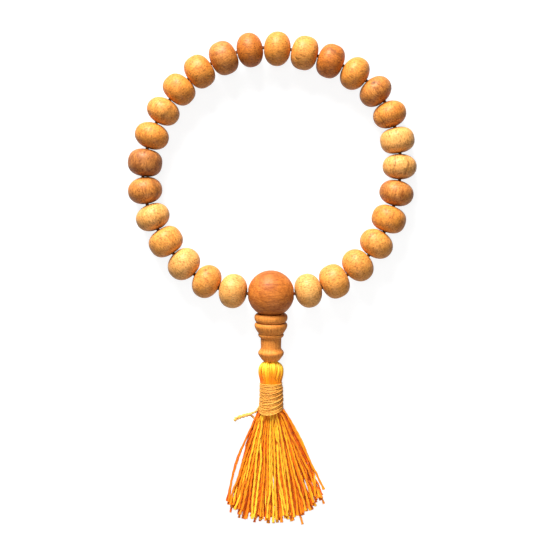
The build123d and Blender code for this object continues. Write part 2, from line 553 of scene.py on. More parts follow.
def paint_crevice_shade(
    heaps: Sequence[MeshHeap],
    unroll: Callable[[FLOATS], FLOATS],
    cell: float = 0.14,
    reach: int = 2,
    depth: float = 0.55,
) -> None:
    """Stores at each point how deep it lies below the threads around it, for painted shade in the crevices.

    Args:
        heaps: the threads that lie together.
        unroll: turns points in millimetres into rows of two places and a height.
        cell: size of the patches whose tops are compared, in millimetres.
        reach: how many patches to each side count.
        depth: the depth that counts as 1, in millimetres.
    """
    laid = [unroll(np.concatenate(heap.points) / MM) for heap in heaps]
    every = np.concatenate(laid)
    low = every[:, :2].min(0)
    size = np.ceil((every[:, :2].max(0) - low) / (cell, 3 * cell)).astype(int) + 2 * reach + 2
    top = np.full(size, -1e9)

    def patch(rows: FLOATS) -> tuple[FLOATS, FLOATS]:
        """Patch numbers of these rows."""
        found = ((rows[:, :2] - low) / (cell, 3 * cell)).astype(int) + reach
        return found[:, 0], found[:, 1]

    np.maximum.at(top, patch(every), every[:, 2])
    widest = top.copy()
    for step in range(1, reach + 1):
        widest[step:] = np.maximum(widest[step:], top[:-step])
        widest[:-step] = np.maximum(widest[:-step], top[step:])
    for heap, rows in zip(heaps, laid):
        heap.values["crevice_shade"] = [np.clip((widest[patch(rows)] - rows[:, 2]) / depth, 0, 1)]


def smooth_path(points: Sequence[Sequence[float]], stations: int) -> FLOATS:
    """A smooth path through these points.

    Args:
        points: the points that it passes, in millimetres.
        stations: how many points the path has.

    Returns:
        The path's points.
    """
    rough = np.array(points, float)
    padded = np.concatenate([2 * rough[:1] - rough[1:2], rough, 2 * rough[-1:] - rough[-2:-1]])
    where = np.linspace(0, len(rough) - 1, stations)
    index = np.minimum(where.astype(int), len(rough) - 2)
    t = (where - index)[:, None]
    a, b, c, d = (padded[index + k] for k in range(4))
    return 0.5 * (2 * b + (c - a) * t + (2 * a - 5 * b + 4 * c - d) * t**2 + (3 * b - a - 3 * c + d) * t**3)


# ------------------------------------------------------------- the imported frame


@dataclass(frozen=True)
class Axle:
    """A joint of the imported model, in millimetres."""

    centre: Vector
    axis: Vector

    @classmethod
    def of(cls, joint: str) -> "Axle":
        """The axle of the joint of this name."""
        found = next(j for j in frame["joints"] if j["name"] == joint)
        return cls(Vector(found["pos_m"]) / MM, Vector(found["axis"]).normalized())


def reach_along(node: str, axis: Vector) -> float:
    """Length of a CAD node along an axis, in millimetres."""
    mesh = frame["nodes"][node].data
    flat = np.empty(3 * len(mesh.vertices), np.float32)
    mesh.vertices.foreach_get("co", flat)
    return float(np.ptp(flat.reshape(-1, 3) @ np.array(axis))) / MM


def body_of(node: str) -> str:
    """The body that holds a CAD node."""
    bodies = frame["record"]["behaviour"]["bodies"]
    return next(body for body, nodes in bodies.items() if node in nodes)


def standing(origin: Vector, axis: Vector) -> Matrix:
    """A frame at this point, in millimetres, whose Z follows the axis and whose X points up."""
    z = axis.normalized()
    x = (Vector((0, 0, 1)) - z * z.z).normalized()
    y = z.cross(x)
    turn = Matrix((x, y, z)).transposed().to_4x4()
    return Matrix.Translation(origin * MM) @ turn


# ----------------------------------------------------------------------- beads


class Flaw(Enum):
    """Kinds of natural mark on a bead."""

    KNOT = "knot"
    CRACK = "crack"
    STREAK = "streak"
    PITS = "pits"


@dataclass(frozen=True)
class Mark:
    """A mark at a height along the bore and an angle from the top towards the outer side."""

    flaw: Flaw
    height: float
    angle: float
    size: float = 0.5
    depth: float = 0.12


MARKS: dict[int, list[Mark]] = {
    4: [Mark(Flaw.STREAK, 0.2, -30, 0.28, 0.02)],
    7: [Mark(Flaw.STREAK, 0.0, 22, 0.3, 0.02), Mark(Flaw.STREAK, 0.3, -24, 0.22, 0.02)],
    9: [Mark(Flaw.STREAK, -0.4, -42, 0.24, 0.03)],
    10: [Mark(Flaw.KNOT, 1.7, 10, 0.42, 0.14)],
    12: [Mark(Flaw.STREAK, 0.0, 30, 0.4, 0.02)],
    13: [Mark(Flaw.CRACK, 1.5, -34, 0.5, 0.16)],
    19: [Mark(Flaw.STREAK, 0.0, -20, 0.5, 0.02)],
    22: [Mark(Flaw.STREAK, 0.2, -46, 0.45, 0.03)],
    23: [Mark(Flaw.PITS, 2.0, -22, 0.30, 0.13)],
    26: [Mark(Flaw.KNOT, -1.3, -38, 0.34, 0.12)],
}

TONES: dict[Tone, tuple[int, ...]] = {
    Tone.STRAW: (1, 7, 8, 23, 25, 27),
    Tone.HONEY: (2, 3, 4, 13, 19, 24, 26),
    Tone.AMBER: (5, 9, 11, 14, 17, 18, 20),
    Tone.TOFFEE: (6, 10, 16, 22),
    Tone.UMBER: (21,),
    Tone.RUSSET: (12, 15),
}


TIGHT_BENDS = (1, 3, 4, 6, 7, 9, 10, 11, 14, 15, 19, 20, 22, 23, 25, 26, 27)
"""Beads beside the gaps that bend most, whose ends are rounder."""


@dataclass
class Bead:
    """One small turned bead of the loop."""

    number: int
    radius: float = 4.0
    bore: float = 0.62
    gap: float = 0.06
    fullness: float = 2.45
    chamfer: float = 0.22
    sides: int = 112
    rings: int = 72

    def __post_init__(self) -> None:
        """Finds the bead's place from its joints."""
        self.name = f"bead_{self.number:02d}"
        self.axle = Axle.of(f"turn_{self.name}")
        self.span = reach_along(f"cord_{self.number:02d}", self.axle.axis)
        self.draw = np.random.default_rng(700 + self.number)
        if self.number in TIGHT_BENDS:
            self.gap, self.fullness = 0.17, 2.15

    def outline(self) -> FLOATS:
        """Half section: the rounded outside, eased bore edges and the bore."""
        half = (self.span - self.gap) / 2
        size = self.radius * (1.032 - 0.018 * self.draw.random())
        edge = self.bore + self.chamfer
        power = 2 / self.fullness
        reach = math.acos((edge / size) ** (1 / power))
        around = np.linspace(-reach, reach, self.rings)
        rise = np.sign(around) * np.abs(np.sin(around)) ** power
        outer = np.stack([size * np.cos(around) ** power, half * rise], -1)
        top = outer[-1, 1]
        ease = np.linspace(0, math.pi / 2, 5)[1:]
        lip = np.stack([edge - self.chamfer * np.sin(ease), top - self.chamfer * (1 - np.cos(ease))], -1)
        lower_lip = lip[::-1] * [1, -1]
        wall = np.linspace(lip[-1, 1], lower_lip[0, 1], 12)[1:-1]
        inner = np.stack([np.full_like(wall, self.bore), wall], -1)
        return np.concatenate([outer, lip, inner, lower_lip])

    def swell(self, height: FLOATS, angle: FLOATS) -> FLOATS:
        """Slight unevenness of a hand-turned and sanded bead, never outwards."""
        first, second, third = self.draw.uniform(0, 2 * math.pi, 3)
        oval = 0.5 + 0.5 * np.cos(2 * angle + first)
        flat = 0.5 + 0.5 * np.cos(3 * angle + 1.1 * height + second)
        ripple = 0.5 + 0.5 * np.cos(5.0 * height + third)
        belt = np.clip(1 - (height / (self.span / 2)) ** 2, 0, 1)
        return -belt * (0.035 * oval + 0.02 * flat + 0.006 * ripple)

    def mark(self, points: FLOATS, height: FLOATS, angle: FLOATS) -> tuple[FLOATS, FLOATS]:
        """Presses the bead's marks into its surface.

        Args:
            points: the bead's points in metres.
            height: each point's height along the bore in millimetres.
            angle: each point's angle from the top.

        Returns:
            The moved points and how stained each one is.
        """
        radius = np.linalg.norm(points[:, :2], axis=1) / MM
        outer = radius > self.bore + self.chamfer * 1.05
        stain = 0.55 * np.clip(1.6 - radius, 0, 0.8) / 0.8 + np.where(outer, 0.0, 0.35)
        push = np.zeros_like(radius)
        for mark in MARKS.get(self.number, []):
            turn = np.angle(np.exp(1j * (angle - math.radians(mark.angle))))
            aside, ahead = turn * radius, height - mark.height
            if mark.flaw is Flaw.STREAK:
                wander = 0.35 * np.sin(1.3 * height + self.number)
                dent = np.exp(-(((aside - wander) / mark.size) ** 2) - (ahead / 2.4) ** 4)
                weight = 0.5
            elif mark.flaw is Flaw.CRACK:
                dent = np.exp(-((aside - 0.5 * ahead) / 0.16) ** 2 - (ahead / mark.size) ** 2)
                weight = 0.95
            else:
                dent = np.exp(-(aside**2 + ahead**2) / mark.size**2)
                if mark.flaw is Flaw.PITS:
                    dent += 0.9 * np.exp(-((aside - 0.7) ** 2 + (ahead - 0.3) ** 2) / (0.7 * mark.size) ** 2)
                    dent += 0.8 * np.exp(-((aside + 0.5) ** 2 + (ahead + 0.6) ** 2) / (0.6 * mark.size) ** 2)
                weight = 0.9
            stain = stain + weight * dent * outer
            push = push + mark.depth * dent * outer
        shrink = np.maximum(radius - push, self.bore)[:, None] / np.maximum(radius, 1e-6)[:, None]
        points[:, :2] *= shrink
        return points, np.clip(stain, 0, 1)

    def finish(self) -> bpy.types.Material:
        """The bead's own wood."""
        tone = next(tone for tone, numbers in TONES.items() if self.number in numbers)
        lively = self.number in MARKS or tone in (Tone.UMBER, Tone.TOFFEE)
        grain = self.draw.uniform(0.35, 0.55) + (0.2 if lively else 0.0)
        mottle = self.draw.uniform(0.15, 0.35) + (0.25 if tone in (Tone.UMBER, Tone.TOFFEE) else 0.0)
        pitch = self.draw.uniform(1.1, 2.0)
        wood = TurnedWood(f"{self.name}_wood", tone, 90 + self.number, grain, mottle, ring_pitch=pitch)
        return wood.make()

    def build(self) -> bpy.types.Object:
        """Builds the bead in its place on its body."""
        points, faces, height, angle = lathe(self.outline(), self.sides, self.swell)
        points, stain = self.mark(points, height, angle)
        heap = MeshHeap()
        heap.add(points, faces, stain=stain)
        piece = heap.piece(f"turned_{self.name}", self.finish(), standing(self.axle.centre, self.axle.axis))
        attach(piece, self.name)
        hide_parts(self.name)
        return piece


@dataclass
class GuruBead:
    """The large bead, with side bores along the loop's cord and a dimple towards the stem."""

    node: str = "guru_bead"
    bore: float = 0.85
    chamfer: float = 0.3
    spread: float = 0.012
    sides: int = 176
    rings: int = 96

    def __post_init__(self) -> None:
        """Finds the bead's centre and size from the frame."""
        self.centre = Axle.of("fold_at_guru").centre
        low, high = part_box(self.node)
        self.radius = (high[2] - low[2]) / MM / 2
        self.down = Axle.of("spin_stem").axis

    def outline(self) -> FLOATS:
        """Half section about the side bores."""
        edge = self.bore + self.chamfer
        reach = math.acos(edge / self.radius)
        around = np.linspace(-reach, reach, self.rings)
        outer = self.radius * np.stack([np.cos(around), np.sin(around)], -1)
        ease = np.linspace(0, math.pi / 2, 6)[1:]
        shoulder = outer[-1, 1]
        lip = np.stack([edge - self.chamfer * np.sin(ease), shoulder - self.chamfer * (1 - np.cos(ease))], -1)
        lower_lip = lip[::-1] * [1, -1]
        wall = np.linspace(lip[-1, 1], lower_lip[0, 1], 20)[1:-1]
        inner = np.stack([np.full_like(wall, self.bore), wall], -1)
        return np.concatenate([outer, lip, inner, lower_lip])

    @staticmethod
    def swell(height: FLOATS, angle: FLOATS) -> FLOATS:
        """Faint turning marks and flats, never outwards."""
        return -0.012 * (0.5 + 0.5 * np.cos(6.0 * height)) - 0.02 * (0.5 + 0.5 * np.cos(3 * angle + 0.8))

    def build(self) -> bpy.types.Object:
        """Builds the guru bead, with a dimple where the tassel's cord leaves it and painted shade at its top and
        bottom rims.
        """
        points, faces, height, _ = lathe(self.outline(), self.sides, self.swell)
        place = standing(self.centre, Vector((1, 0, 0)))
        towards = np.array(place.to_3x3().transposed() @ self.down)
        reach = np.linalg.norm(points, axis=1) / MM
        aside = np.linalg.norm(np.cross(points / MM, towards), axis=1)
        facing = points @ towards > 0
        near = facing & (reach > self.radius * 0.6)
        dimple = np.where(near, np.clip(1.25 - aside, 0, 0.5) / 0.5, 0)
        points -= (points / reach[:, None]) * (dimple * 1.6)[:, None]
        radius = np.linalg.norm(points[:, :2], axis=1) / MM
        stain = np.clip(0.6 * np.clip(2.0 - radius, 0, 1) + 0.6 * dimple, 0, 1)
        # Dark lines of the grain, and at the top and bottom rims (the first and last rows) wide bands of painted
        # shade.
        lines = [
            (-5.2, 1.5, 0.26), (-2.05, 0.09, 0.26), (-0.5, 0.07, 0.08),
            (1.7, 0.08, 0.10), (3.8, 0.12, 0.26), (5.1, 1.1, 0.24),
        ]
        drop = points[:, 1] / MM
        for where, wide, much in lines:
            wander = 0.12 * np.sin(0.9 * height + where)
            stain = stain + much * np.exp(-(((drop - where - wander) / wide) ** 2))
        heap = MeshHeap()
        upright = np.array(place.to_3x3())[2]
        points += (points - (points @ upright)[:, None] * upright) * self.spread
        heap.add(points, faces, stain=np.clip(stain, 0, 1))
        wood = TurnedWood("guru_wood", Tone.GURU, 11, 0.9, 0.3, 0.5, 1.7, 0.56, 0.03)
        piece = heap.piece("turned_guru_bead", wood.make(), place)
        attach(piece, "guru")
        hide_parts(self.node)
        return piece


@dataclass
class Stem:
    """The turned stem: cupped rim, groove, round ring, fillet ring, waisted shaft and flare."""

    node: str = "guru_stem"
    seat_gap: float = 0.13
    bore: float = 0.75
    sides: int = 144

    def __post_init__(self) -> None:
        """Finds the stem's axis and the guru bead's size from the frame."""
        self.axle = Axle.of("spin_stem")
        low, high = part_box("guru_bead")
        self.seat = (high[2] - low[2]) / MM / 2 + self.seat_gap

    def outline(self) -> FLOATS:
        """Half section: radius and distance from the guru bead's centre."""
        rim_height = 4.82
        seat_angle = np.linspace(math.asin(self.bore / self.seat), math.acos(rim_height / self.seat), 20)
        seat = self.seat * np.stack([np.sin(seat_angle), np.cos(seat_angle)], -1)
        turned = [
            (3.02, 4.74), (3.28, 4.76), (3.58, 4.88), (3.82, 5.16), (3.92, 5.50), (3.92, 5.86),
            (3.84, 6.22), (3.66, 6.52), (3.46, 6.70), (3.38, 6.78), (3.40, 6.86), (3.58, 6.95),
            (3.76, 7.12), (3.87, 7.40), (3.88, 7.72), (3.78, 8.10), (3.58, 8.50), (3.33, 8.88),
            (3.12, 9.20), (2.97, 9.42), (2.90, 9.52), (2.91, 9.58), (3.01, 9.66), (3.05, 9.84),
            (3.00, 10.05), (2.88, 10.24), (2.70, 10.40), (2.55, 10.54), (2.48, 10.74), (2.45, 11.2),
            (2.43, 11.8), (2.41, 12.4), (2.42, 12.9), (2.52, 13.25), (2.74, 13.55), (2.96, 13.82),
            (3.06, 14.12), (3.02, 14.44), (2.86, 14.78), (2.62, 15.14), (2.36, 15.5), (2.10, 15.84),
            (1.80, 16.08), (1.40, 16.2), (1.0, 16.2),
        ]
        outer = smooth_path([(r, s, 0.0) for r, s in turned], 190)[:, :2]
        lip = np.array([(0.86, 16.16), (0.77, 16.05)])
        wall = np.linspace(15.9, seat[0, 1] + 0.15, 26)
        inner = np.stack([np.full_like(wall, self.bore), wall], -1)
        return np.concatenate([seat, outer, lip, inner])

    @staticmethod
    def swell(height: FLOATS, angle: FLOATS) -> FLOATS:
        """Faint turning marks, never outwards."""
        return -0.008 * (0.5 + 0.5 * np.cos(14.0 * height)) - 0.012 * (0.5 + 0.5 * np.cos(2 * angle))

    def build(self) -> bpy.types.Object:
        """Builds the stem on its body, darker in its grooves."""
        points, faces, height, _ = lathe(self.outline(), self.sides, self.swell)
        radius = np.linalg.norm(points[:, :2], axis=1) / MM
        stain = 0.5 * np.clip(1.5 - radius, 0, 0.6) / 0.6
        for where, wide, much in ((6.88, 0.10, 0.55), (9.60, 0.08, 0.5), (10.66, 0.10, 0.28)):
            stain = stain + much * np.exp(-(((height - where) / wide) ** 2)) * (radius > 2)
        heap = MeshHeap()
        heap.add(points, faces, stain=np.clip(stain, 0, 1))
        wood = TurnedWood("stem_wood", Tone.STEM, 23, 0.7, 0.2, 0.55, 1.1, 0.64, 0.0)
        piece = heap.piece("turned_guru_stem", wood.make(), standing(self.axle.centre, self.axle.axis))
        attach(piece, "stem")
        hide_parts(self.node)
        return piece


# ------------------------------------------------------------------------ cord


@dataclass
class LoopCord:
    """The waxed cord: a stretch through each bead, one across the guru bead and the doubled one below."""

    radius: float = 0.43
    doubled: float = 0.58
    overlap: float = 0.12
    spin: Strand = Strand(3, 1.5, 0.2, 12)

    def stretch(self, node: str, start: Vector, end: Vector, radius: float) -> bpy.types.Object:
        """Builds a straight stretch.

        Args:
            node: the CAD node that it stands for.
            start: its first point, in millimetres.
            end: its last point.
            radius: its radius.

        Returns:
            The piece.
        """
        steps = np.linspace(0, 1, 48)[:, None]
        path = np.array(start) * (1 - steps) + np.array(end) * steps
        heap = MeshHeap()
        self.spin.sweep(heap, path[None], np.full((1, 48), radius), np.array([0.5]))
        piece = heap.piece(f"strung_{node}", self.material)
        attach(piece, body_of(node))
        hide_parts(node)
        return piece

    def build(self, beads: Sequence[Bead]) -> list[bpy.types.Object]:
        """Builds every stretch of the cord."""
        brown = TwistedThread("cord", linear(150, 84, 40), linear(112, 58, 26), linear(66, 32, 14), 0.5, 0.1)
        self.material = brown.make()
        made = []
        for bead in beads:
            reach = bead.axle.axis * (bead.span / 2 + self.overlap)
            ends = (bead.axle.centre - reach, bead.axle.centre + reach)
            made.append(self.stretch(f"cord_{bead.number:02d}", *ends, self.radius))
        guru = Axle.of("fold_at_guru").centre
        reach = Vector((reach_along("guru_cord", Vector((1, 0, 0))) / 2, 0, 0))
        made.append(self.stretch("guru_cord", guru - reach, guru + reach, self.radius))
        neck, stem = Axle.of("sway_tassel").centre, Axle.of("spin_stem")
        made.append(self.stretch("tassel_cord", stem.centre + stem.axis, neck, self.doubled))
        return made


# ---------------------------------------------------------------------- tassel


@dataclass
class Tassel:
    """The tassel: head of folded threads, wound binding with its loose end, and skirt.

    Its own frame has its origin at the neck, X to the right, Y up and Z along the tassel.
    """

    threads: int = 160
    stations: int = 64
    fine_stations: int = 180
    root_width: float = 2.55
    root_height: float = 2.1
    thread_root: float = 0.21
    thread_end: float = 0.28
    skirt_start: float = 10.7
    skirt_length: float = 26.9
    edge_shortfall: float = 3.0
    strays: int = 5
    locks: int = 6
    settle_steps: int = 150
    closeness: float = 0.94
    push: float = 0.28
    stiffness: float = 0.22
    drop: float = 0.003
    homing: float = 0.012
    seed: int = 41

    def __post_init__(self) -> None:
        """Finds the neck and the tassel's reach from the frame."""
        self.neck = Axle.of("sway_tassel").centre
        low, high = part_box("tassel_threads")
        self.end_left, self.end_right = low[0] / MM, high[0] / MM
        self.draw = np.random.default_rng(self.seed)
        gold = (linear(240, 190, 46), linear(228, 138, 8), linear(214, 84, 0))
        tan = (linear(232, 178, 88), linear(217, 150, 58), linear(176, 102, 34))
        self.gold = TwistedThread("tassel_thread", *gold, 0.5, 0.06).make()
        self.tan = TwistedThread("binding_thread", *tan, 0.6, 0.1, crevice_shade_strength=0.5, painted_glow=0.10).make()

    def placed(self, paths: FLOATS) -> FLOATS:
        """Turns own coordinates (right, up, along) into the row frame, in millimetres."""
        right, up, along = paths[..., 0], paths[..., 1], paths[..., 2]
        neck = self.neck
        return np.stack([neck.x + right, neck.y - along, neck.z + up], -1)

    def unrolled(self, points: FLOATS) -> FLOATS:
        """Lays round parts out flat: arc length round the tassel, place along it, and reach."""
        right, up = points[:, 0] - self.neck.x, points[:, 2] - self.neck.z
        return np.stack([np.arctan2(up, right) * 2.7, points[:, 1], np.hypot(right, up)], -1)

    def settle(self) -> FLOATS:
        """Lays the skirt's threads on the floor and pushes them apart, which leaves small overlaps.

        Returns:
            Each thread's path in own coordinates, as thread, station, axis.
        """
        draw, count = self.draw, self.threads
        index = np.arange(count) + 0.5
        share, angle = np.sqrt(index / count), index * GOLDEN_ANGLE
        oval = [self.root_width * np.cos(angle), self.root_height * np.sin(angle)]
        root = share[:, None] * np.stack(oval, -1)
        half = (self.end_right - self.end_left) / 2 - 0.2
        middle = (self.end_right + self.end_left) / 2
        aside = root[:, 0] / self.root_width
        rank = np.argsort(np.argsort(aside + draw.normal(0, 0.20, count)))
        spread = (rank + 0.5) / count * 2 - 1 + draw.normal(0, 0.03, count)
        end_x = middle + half * np.sign(spread) * np.abs(spread) ** 0.9
        level = (root[:, 1] / self.root_height + 1) / 2
        crown = 1 - 0.5 * np.clip(np.abs(spread), 0, 1) ** 2
        end_y = 0.3 - self.neck.z + 2.9 * level * crown
        t = np.linspace(0, 1, self.stations)[None, :]
        x = root[:, :1] + (end_x[:, None] - root[:, :1]) * t**0.95
        y = root[:, 1:] + (end_y[:, None] - root[:, 1:]) * t**0.75
        for cycles, size in ((0.55, 0.45), (1.1, 0.26), (2.3, 0.09)):
            phase = draw.uniform(0, 2 * math.pi, (2, count, 1))
            much = size * draw.normal(0, 1, (count, 1))
            x = x + much * np.sin(2 * math.pi * cycles * t + phase[0]) * t
            y = y + 0.4 * size * np.sin(2 * math.pi * cycles * t + phase[1]) * t
        loose = np.argsort(-np.abs(spread))[: self.strays]
        x[loose] += np.sign(spread[loose])[:, None] * 0.8 * np.sin(math.pi * t**1.3)
        thick = self.thickness(t)
        apart = 2 * thick[0] * self.closeness
        floor = thick[0] - self.neck.z
        flat = np.stack([x, y], -1)
        pinned = np.clip(t[0] / 0.08, 0, 1)[None, :, None]
        home = flat.copy()
        for _ in range(self.settle_steps):
            gap = flat[:, None] - flat[None, :]
            distance = np.linalg.norm(gap, axis=-1) + 1e-6
            push = np.clip(apart[None, None] - distance, 0, None)
            push[np.arange(count), np.arange(count)] = 0
            move = (gap * (push / distance)[..., None]).sum(1) * self.push
            flat = flat + move * pinned
            straight = (flat[:, 2:] + flat[:, :-2]) / 2 - flat[:, 1:-1]
            flat[:, 1:-1] += self.stiffness * pinned[:, 1:-1] * straight
            flat[..., 1] -= self.drop * pinned[..., 0]
            flat[..., 1] = np.maximum(flat[..., 1], floor[None])
            flat = flat + self.homing * (home - flat) * pinned
        corner = np.abs(spread) ** np.where(spread < 0, 5.0, 2.6)
        long = self.skirt_length - self.edge_shortfall * corner + draw.normal(0, 0.8, count)
        steps = np.linalg.norm(np.diff(flat, axis=1), axis=-1)
        rise = long[:, None] / (self.stations - 1)
        ahead = np.sqrt(np.clip(rise**2 - steps**2, (0.3 * rise) ** 2, None))
        along = self.skirt_start + np.concatenate([np.zeros((count, 1)), np.cumsum(ahead, 1)], 1)
        return np.concatenate([flat, along[..., None]], -1)

    def thickness(self, t: FLOATS) -> FLOATS:
        """Radius of a thread at a share of the skirt's length: squeezed at the root, opening below."""
        opening = np.clip(t / 0.35, 0, 1)
        return self.thread_root + (self.thread_end - self.thread_root) * opening * (2 - opening)

    def skirt(self) -> list[bpy.types.Object]:
        """Builds the skirt's threads as several locks."""
        rough = self.settle()
        share = np.linspace(0, 1, self.fine_stations)
        where = share * (self.stations - 1)
        index = np.minimum(where.astype(int), self.stations - 2)
        part = (where - index)[None, :, None]
        paths = rough[:, index] * (1 - part) + rough[:, index + 1] * part
        kernel = np.array([1, 2, 3, 2, 1]) / 9
        padded = np.pad(paths, ((0, 0), (2, 2), (0, 0)), mode="edge")
        smooth = sum(kernel[k] * padded[:, k : k + self.fine_stations] for k in range(5))
        paths[:, 2:-2] = smooth[:, 2:-2]
        radii = self.thickness(share)[None] * self.draw.uniform(0.86, 1.12, (self.threads, 1))
        radii = radii * (1 + 0.32 * np.exp(-(((1 - share) / 0.03) ** 2)))
        # Painted shade: lower threads get a smaller shade number and a darker colour, higher ones a paler colour,
        # with random tone on top.
        height = rough[:, self.stations // 2 :, 1].mean(1)
        order = np.argsort(np.argsort(height)) / self.threads
        shades = np.clip(0.20 + 0.52 * order + self.draw.normal(0, 0.23, self.threads), 0, 1)
        lock = np.argsort(np.argsort(rough[:, -1, 0])) * self.locks // self.threads
        heaps = [MeshHeap() for _ in range(self.locks)]
        for number, heap in enumerate(heaps):
            chosen = lock == number
            Strand(2, 2.0, 0.30, 10).sweep(heap, self.placed(paths[chosen]), radii[chosen], shades[chosen])
        # Painted shade for the crevices between the skirt's threads.
        paint_crevice_shade(heaps, lambda points: points)
        made = [
            self.dress(heap.piece(f"skirt_lock_{number + 1}", self.gold), "tassel_thread")
            for number, heap in enumerate(heaps)
        ]
        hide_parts("tassel_threads")
        return made

    @staticmethod
    def dress(piece: bpy.types.Object, slot: str) -> bpy.types.Object:
        """Rides a piece on the tassel's body."""
        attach(piece, "tassel")
        return piece

    def folded(self, count: int, lift: float, seed: int) -> tuple[FLOATS, FLOATS]:
        """Paths of the threads folded over at the head.

        Args:
            count: how many threads go round.
            lift: how far the layer lies outside the head, in millimetres.
            seed: of the unevenness.

        Returns:
            The paths in own coordinates, and each thread's radius.
        """
        draw = np.random.default_rng(seed)
        shape = [
            (0.5, -0.30, 0), (1.2, -0.25, 0), (1.72, 0.03, 0), (2.22, 0.45, 0), (2.58, 1.1, 0),
            (2.74, 1.9, 0), (2.68, 2.9, 0), (2.48, 4.0, 0), (2.30, 5.5, 0),
        ]
        profile = smooth_path(shape, 70)
        angle = np.linspace(0, 2 * math.pi, count, endpoint=False) + draw.normal(0, 0.06, count)
        t = np.linspace(0, 1, 70)[None, :]
        lean = draw.normal(0, 0.16, (count, 1)) * (1 - t) ** 1.5
        lean = lean + draw.normal(0, 0.09, (count, 1)) * np.sin(math.pi * t)
        front = angle[:, None] - 0.55 * math.pi
        gather = -0.22 * np.sin(2 * front) * t**1.2
        turned = angle[:, None] + lean + gather
        cleft = np.exp(-((np.angle(np.exp(1j * front)) / 0.22) ** 2)) * np.clip(1 - t / 0.5, 0, 1)
        reach = profile[None, :, 0] + lift + draw.normal(0, 0.07, (count, 1)) * np.sin(math.pi * t)
        reach = np.maximum(reach - 0.35 * cleft, 0.45)
        along = profile[None, :, 1] + 0.5 * cleft + draw.normal(0, 0.08, (count, 1)) * (1 - t)
        paths = np.stack([reach * np.cos(turned), reach * np.sin(turned), along], -1)
        return paths, np.broadcast_to(0.18 + 0.02 * np.sin(3 * t), turned.shape)

    def head(self) -> bpy.types.Object:
        """Builds the head: folded threads over a rounded core."""
        heap = MeshHeap()
        spin = Strand(2, 2.2, 0.22, 10)
        for count, lift, seed in ((44, -0.20, 5), (52, 0.0, 6)):
            paths, radii = self.folded(count, lift, seed)
            shades = np.clip(np.random.default_rng(seed).normal(0.62, 0.11, count), 0, 1)
            spin.sweep(heap, self.placed(paths), radii, shades)
        shape = [(0.3, 0.1, 0), (1.2, 0.3, 0), (2.0, 0.9, 0), (2.35, 2.2, 0), (2.25, 4.0, 0), (2.1, 5.5, 0)]
        self.core(heap, smooth_path(shape, 40), 0.3)
        # Painted shade for the crevices between the head's threads.
        paint_crevice_shade([heap], self.unrolled, depth=1.4)
        # The head is paler towards the neck end and deeper orange further down.
        down = self.neck.y - np.concatenate(heap.points)[:, 1] / MM
        glow = 0.42 - 0.16 * np.clip(down, 0, 4.2)
        heap.values["shade"] = [np.clip(np.concatenate(heap.values["shade"]) + glow, 0, 1)]
        piece = heap.piece("tassel_head", self.gold)
        neck = np.array(self.neck) * MM
        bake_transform(piece)
        return piece

    def core(self, heap: MeshHeap, outline: FLOATS, shade: float) -> None:
        """Adds a closed round core inside a wound or folded part.

        Args:
            heap: where it goes.
            outline: rows of radius and place along the tassel.
            shade: its place between the deep and the bright colour.
        """
        sides = 48
        angle = np.linspace(0, 2 * math.pi, sides, endpoint=False)[None, :]
        radius, along = outline[:, :1], np.repeat(outline[:, 1:2], sides, 1)
        rings = np.stack([radius * np.cos(angle), radius * np.sin(angle), along], -1)
        points = self.placed(rings).reshape(-1, 3) * MM
        ones = np.ones(len(points))
        rows = len(outline)
        faces = np.concatenate([grid_faces(rows, sides, False), Strand(sides=sides).caps(rows)])
        heap.add(points, faces, shade=shade * ones, along=ones, around=ones)

    def wound(self, angle: FLOATS, t: FLOATS, lift: FLOATS | float = 0.0) -> FLOATS:
        """Points of the binding in own coordinates.

        Args:
            angle: the angle round the tassel, from the right side over the top.
            t: the share of the binding's length, from its top edge.
            lift: how far outside the first layer.

        Returns:
            One row for each point.
        """
        reach = 2.54 + 0.10 * t + 0.20 * t**4 + lift
        along = 4.75 + 6.25 * t + (0.45 + 0.80 * t) * np.sin(angle) - 0.38 * t * np.cos(angle)
        return np.stack([reach * np.cos(angle), reach * np.sin(angle), along], -1)

    def binding(self) -> bpy.types.Object:
        """Builds the wound binding thread with a few crossing turns and its loose doubled end."""
        draw = np.random.default_rng(17)
        turns, stations = 21.5, 3000
        t = np.linspace(0, 1, stations)
        angle = 2 * math.pi * turns * t
        wobble = sum(draw.normal(0, 0.0035) * np.sin((k + 0.37) * angle / 2.6 + k) for k in range(1, 9))
        proud = 0.035 * np.sin(angle * 0.43) + 0.03 * np.sin(angle * 1.7)
        spin = Strand(2, 0.8, 0.34, 8)
        heap = MeshHeap()
        coil = self.wound(angle, np.clip(t + wobble, 0, 1), proud)
        spin.sweep(heap, self.placed(coil[None]), np.full((1, stations), 0.19), np.array([0.55]))
        s = np.linspace(0, 1, 150)
        crossing = []
        for low, rise in ((0.34, 0.22), (0.50, 0.26), (0.66, 0.24), (0.84, 0.28)):
            sweep = math.radians(150) - math.radians(215) * s
            lift = 0.17 * np.clip(s / 0.35, 0, 1) * np.clip((1 - s) / 0.15, 0, 1) + 0.02
            crossing.append(self.wound(sweep, low + 0.04 - rise * s**0.9, lift))
        shades = draw.uniform(0.45, 0.8, len(crossing))
        spin.sweep(heap, self.placed(np.array(crossing)), np.full((len(crossing), 150), 0.17), shades)
        self.core(heap, np.stack([2.46 + 0.1 * s, 5.3 + 5.9 * s], -1), 0.35)
        # Painted shade for the crevices of the binding.
        paint_crevice_shade([heap], self.unrolled, depth=0.5)
        tail = MeshHeap()
        self.tail(tail)
        heap.add(tail.points[0], tail.faces[0], **{key: found[0] for key, found in tail.values.items()})
        piece = heap.piece("wound_binding", self.tan)
        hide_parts("tassel_binding")
        return self.dress(piece, "binding_thread")

